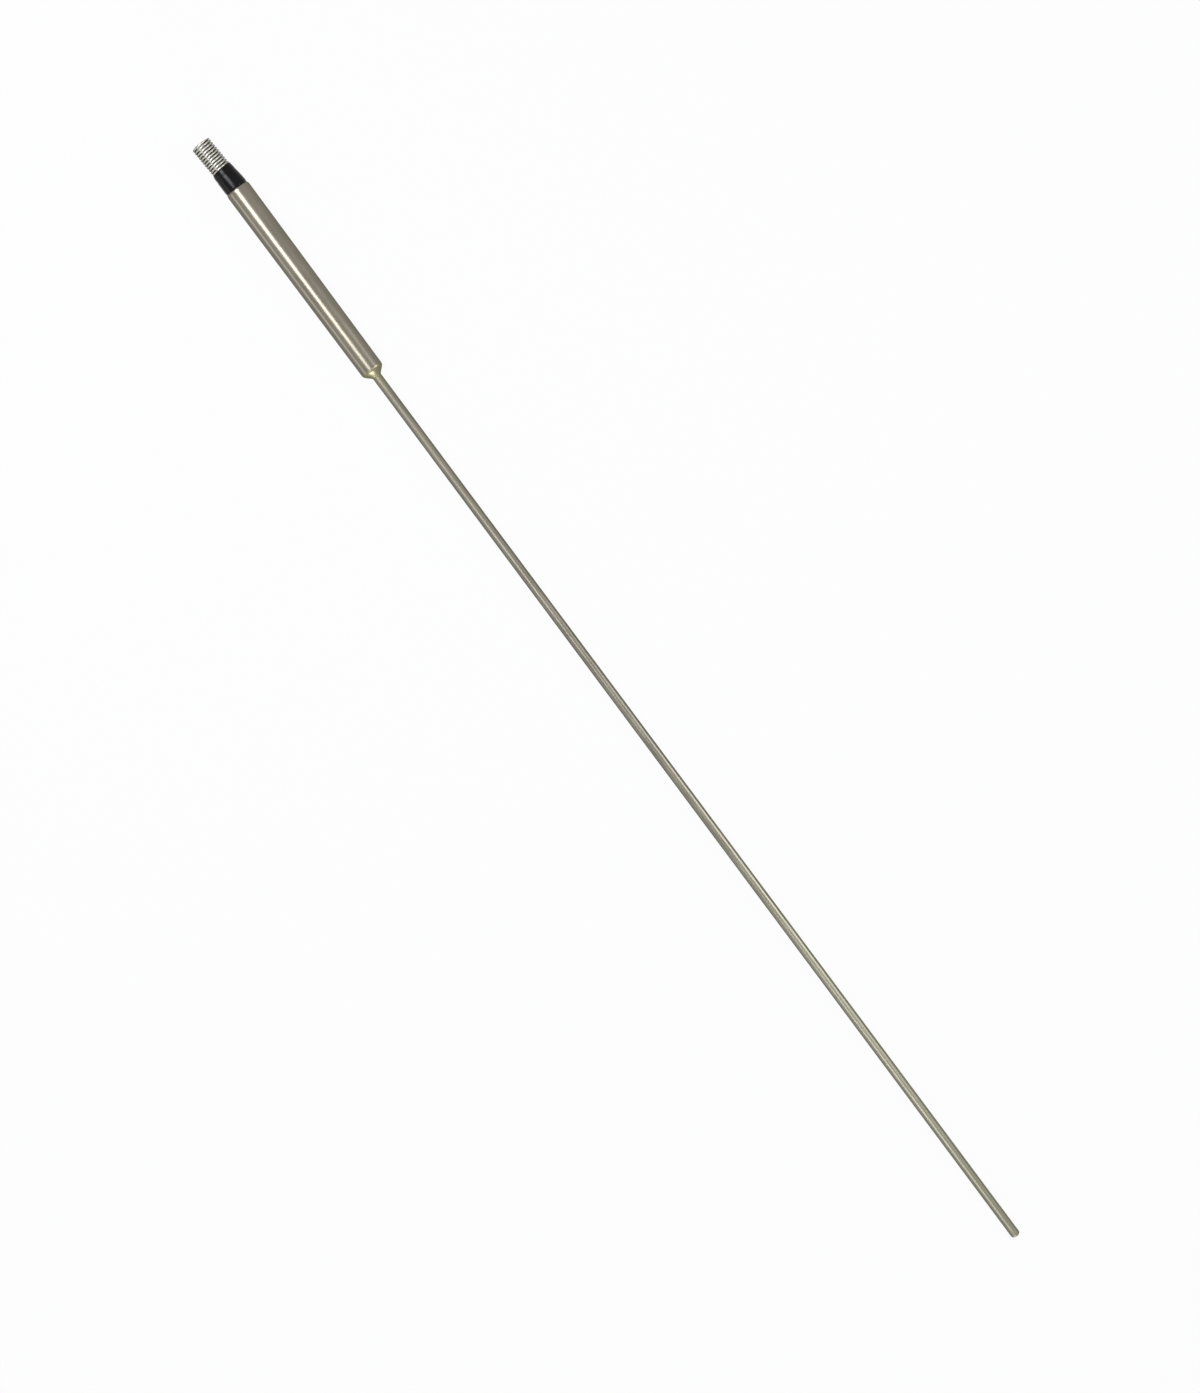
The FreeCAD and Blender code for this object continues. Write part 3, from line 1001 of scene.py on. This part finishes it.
class PROBE_OT_stage(bpy.types.Operator):
    """Lay the floor, hang the lamps and set the camera"""

    bl_idname = "probe.stage"
    bl_label = "Stage"

    FLOOR_SIZE = 16
    FLOOR_PAINT = (0.45, 0.45, 0.45, 1)
    SENSOR = 36
    # Lamp, its place, the point that it faces, its length and width, and the setting of its power
    LAMPS = (
        ("key_lamp", (-0.19, -0.174, 0.65), (-0.19, 0, 0), 0.42, 0.26, "key_power"),
        ("tail_lamp", (-0.36, -0.174, 0.64), (-0.36, 0, 0), 0.28, 0.42, "tail_power"),
        ("side_lamp", (0.22, 0.6, 0.5), (0.22, 0, 0), 0.24, 0.4, "side_power"),
        ("middle_lamp", (0.31, 0.24, 0.6), (0.31, 0, 0), 0.16, 0.3, "middle_power"),
        ("tip_lamp", (0.41, -0.29, 0.58), (0.41, 0, 0), 0.2, 0.4, "tip_power"),
        ("end_lamp", (1.2, -0.3, 0.1), (0, 0, 0), 0.6, 0.14, "end_power"),
        ("low_lamp", (0.05, -0.7, 0.12), (0.05, 0, 0), 0.7, 0.2, "low_power"),
    )

    def execute(self, context):
        stage = context.scene.probe_stage
        self.lay_floor(stage)
        self.light_room(context.scene, stage)
        self.hang_lamps(stage)
        self.set_camera(context.scene, stage)
        context.scene.view_settings.view_transform = "Standard"
        return {"FINISHED"}

    def lay_floor(self, stage):
        """A pale floor on which the sleeve's corner and the tip both rest."""
        drop = sizes().nose_end - SHEATH_HIGH.y
        lean = math.atan2(drop, SHEATH_HIGH.x - SLEEVE_HIGH.x)
        bpy.ops.object.select_all(action="DESELECT")
        bpy.ops.mesh.primitive_plane_add(
            size=self.FLOOR_SIZE, location=(SLEEVE_HIGH.x, 0, -sizes().nose_end),
            rotation=(0, -lean, 0))
        floor = bpy.context.active_object
        floor.name = "floor"
        floor.data.materials.append(self.pale_floor(stage))

    def pale_floor(self, stage):
        """Near white where it is seen or mirrored, with the probe's shadow, and else plain paint."""
        material = bpy.data.materials.new("pale_floor")
        material.use_nodes = True
        tree = material.node_tree
        tree.nodes.clear()
        output = tree.nodes.new("ShaderNodeOutputMaterial")
        paint = tree.nodes.new("ShaderNodeBsdfDiffuse")
        paint.inputs["Color"].default_value = self.FLOOR_PAINT
        white = tree.nodes.new("ShaderNodeEmission")
        lifted = tree.nodes.new("ShaderNodeMixShader")
        lifted.inputs["Fac"].default_value = stage.floor_white
        tree.links.new(paint.outputs["BSDF"], lifted.inputs[1])
        tree.links.new(white.outputs["Emission"], lifted.inputs[2])
        chosen = tree.nodes.new("ShaderNodeMixShader")
        tree.links.new(self.sees_background(tree), chosen.inputs["Fac"])
        tree.links.new(paint.outputs["BSDF"], chosen.inputs[1])
        tree.links.new(lifted.outputs["Shader"], chosen.inputs[2])
        tree.links.new(chosen.outputs["Shader"], output.inputs["Surface"])
        return material

    def sees_background(self, tree):
        """1 for the camera and for what metal or glass mirrors or lets through, 0 for the rest."""
        ray = tree.nodes.new("ShaderNodeLightPath")
        mirrored = tree.nodes.new("ShaderNodeMath")
        mirrored.operation = "MAXIMUM"
        tree.links.new(ray.outputs["Is Camera Ray"], mirrored.inputs[0])
        tree.links.new(ray.outputs["Is Glossy Ray"], mirrored.inputs[1])
        passed = tree.nodes.new("ShaderNodeMath")
        passed.operation = "MAXIMUM"
        tree.links.new(mirrored.outputs["Value"], passed.inputs[0])
        tree.links.new(ray.outputs["Is Transmission Ray"], passed.inputs[1])
        return passed.outputs["Value"]

    def light_room(self, scene, stage):
        """Plain light from all round, seen and mirrored as white."""
        scene.world = bpy.data.worlds.new("room")
        scene.world.use_nodes = True
        tree = scene.world.node_tree
        room = tree.nodes["Background"]
        room.inputs["Color"].default_value = WHITE
        room.inputs["Strength"].default_value = stage.room_level
        white = tree.nodes.new("ShaderNodeBackground")
        white.inputs["Color"].default_value = WHITE
        chosen = tree.nodes.new("ShaderNodeMixShader")
        tree.links.new(self.sees_background(tree), chosen.inputs["Fac"])
        tree.links.new(room.outputs["Background"], chosen.inputs[1])
        tree.links.new(white.outputs["Background"], chosen.inputs[2])
        tree.links.new(chosen.outputs["Shader"], tree.nodes["World Output"].inputs["Surface"])

    def hang_lamps(self, stage):
        """Hang every lamp, each at its own power and all in one colour."""
        for name, place, target, length, width, power in self.LAMPS:
            lamp = self.hang_lamp(name, place, target, length, width)
            lamp.energy = getattr(stage, power)
            lamp.color = stage.lamp_colour

    def hang_lamp(self, name, place, target, length, width):
        """A flat lamp that faces its target, with its length along the probe or nearly level."""
        back = (Vector(place) - Vector(target)).normalized()
        across = back.cross(Vector((1, 0, 0))).normalized()
        along = across.cross(back)
        bpy.ops.object.select_all(action="DESELECT")
        bpy.ops.object.light_add(type="AREA")
        lamp = bpy.context.active_object
        lamp.name = name
        lamp.data.shape = "RECTANGLE"
        lamp.data.size = length
        lamp.data.size_y = width
        lamp.visible_camera = False
        facing = Matrix((along, across, back)).transposed().to_4x4()
        facing.translation = Vector(place)
        lamp.matrix_world = facing
        return lamp.data

    def set_camera(self, scene, stage):
        """Look down on the probe, which crosses the picture from corner to corner."""
        along = Vector((math.cos(stage.tilt), 0, math.sin(stage.tilt)))
        back = Vector((-math.sin(stage.tilt), 0, math.cos(stage.tilt)))
        across = Vector((0, 1, 0))
        right = math.cos(stage.roll) * along + math.sin(stage.roll) * across
        up = math.cos(stage.roll) * across - math.sin(stage.roll) * along
        bpy.ops.object.camera_add()
        camera = bpy.context.active_object
        camera.data.lens = stage.lens
        camera.data.sensor_width = self.SENSOR
        facing = Matrix((right, up, back)).transposed().to_4x4()
        facing.translation = Vector(stage.aim) + stage.distance * back
        camera.matrix_world = facing
        scene.camera = camera


class PROBE_PT_panel(bpy.types.Panel):
    """Lists the steps that build the probe"""

    bl_idname = "PROBE_PT_panel"
    bl_label = "Probe"
    bl_space_type = "VIEW_3D"
    bl_region_type = "UI"
    bl_category = "Probe"

    def draw(self, context):
        column = self.layout.column()
        for step in STEPS:
            column.operator(step.bl_idname)
        scene = context.scene
        for group in (scene.probe_sizes, scene.probe_colours, scene.probe_stage):
            box = self.layout.box()
            for name in group.__annotations__:
                box.prop(group, name)


STEPS = (
    PROBE_OT_stage,
    PROBE_OT_sheath,
    PROBE_OT_sleeve,
    PROBE_OT_braze,
    PROBE_OT_boot,
    PROBE_OT_coil,
    PROBE_OT_lead_wires,
    PROBE_OT_inner_parts,
)
CLASSES = (ProbeSizes, ProbeColours, ProbeStage, *STEPS, PROBE_PT_panel)


def register():
    for made in CLASSES:
        bpy.utils.register_class(made)
    bpy.types.Scene.probe_sizes = bpy.props.PointerProperty(type=ProbeSizes)
    bpy.types.Scene.probe_colours = bpy.props.PointerProperty(type=ProbeColours)
    bpy.types.Scene.probe_stage = bpy.props.PointerProperty(type=ProbeStage)


def unregister():
    del bpy.types.Scene.probe_sizes
    del bpy.types.Scene.probe_colours
    del bpy.types.Scene.probe_stage
    for made in reversed(CLASSES):
        bpy.utils.unregister_class(made)


def main():
    register()
    bpy.ops.probe.stage()
    bpy.ops.probe.sheath()
    bpy.ops.probe.sleeve()
    bpy.ops.probe.braze()
    bpy.ops.probe.boot()
    bpy.ops.probe.coil()
    bpy.ops.probe.lead_wires()
    bpy.ops.probe.inner_parts()


if __name__ == "__main__":
    main()
